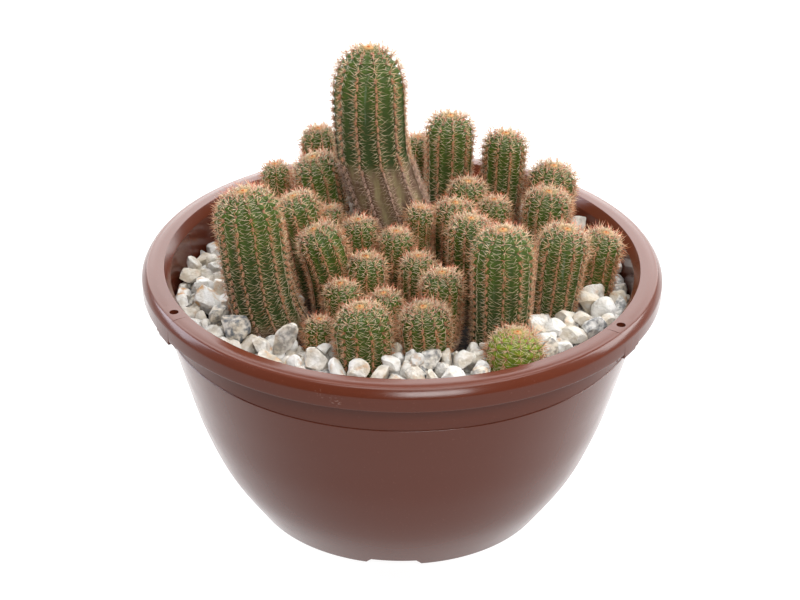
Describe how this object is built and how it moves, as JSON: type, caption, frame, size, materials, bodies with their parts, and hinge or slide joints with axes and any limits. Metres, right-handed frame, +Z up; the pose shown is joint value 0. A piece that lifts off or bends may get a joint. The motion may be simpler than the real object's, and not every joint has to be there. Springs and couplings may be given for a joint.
{
  "type": "potted clumping cactus",
  "caption": "Clump of ribbed, spiny cactus stems of mixed heights in a round brown hanging bowl, dressed with white gravel.",
  "frame": {"origin": "centre of the pot's foot, on the surface that it stands on", "axes": "+Z up along the pot's axis; -Y towards the viewer of the picture, with the tallest stem a little left of the middle at the back; +X to the viewer's right"},
  "size_m": [0.3, 0.3, 0.2672],
  "materials": {
    "pot_plastic": "satin moulded brown",
    "potting_mix": "dark crumbly potting mix",
    "white_gravel": "tumbled white and grey marble",
    "cactus_flesh": "green ribbed flesh with cream and reddish spines"
  },
  "bodies": {
    "root": {"pot": "pot_plastic", "soil": "potting_mix", "gravel": "white_gravel", "stem_01_tall": "cactus_flesh", "stem_02": "cactus_flesh", "stem_03": "cactus_flesh", "stem_04": "cactus_flesh", "stem_05": "cactus_flesh", "stem_06": "cactus_flesh", "stem_07": "cactus_flesh", "stem_08": "cactus_flesh", "stem_09": "cactus_flesh", "stem_10": "cactus_flesh", "stem_11": "cactus_flesh", "stem_12": "cactus_flesh", "stem_13": "cactus_flesh", "stem_14": "cactus_flesh", "stem_15": "cactus_flesh", "stem_16": "cactus_flesh", "stem_17": "cactus_flesh", "stem_18": "cactus_flesh", "stem_19": "cactus_flesh", "stem_20": "cactus_flesh", "stem_21": "cactus_flesh", "stem_22": "cactus_flesh", "stem_23": "cactus_flesh", "stem_24": "cactus_flesh", "stem_25": "cactus_flesh", "stem_26": "cactus_flesh", "stem_27": "cactus_flesh", "stem_28": "cactus_flesh", "stem_29": "cactus_flesh", "stem_30": "cactus_flesh", "stem_31": "cactus_flesh", "stem_32": "cactus_flesh"}
  },
  "joints": []
}
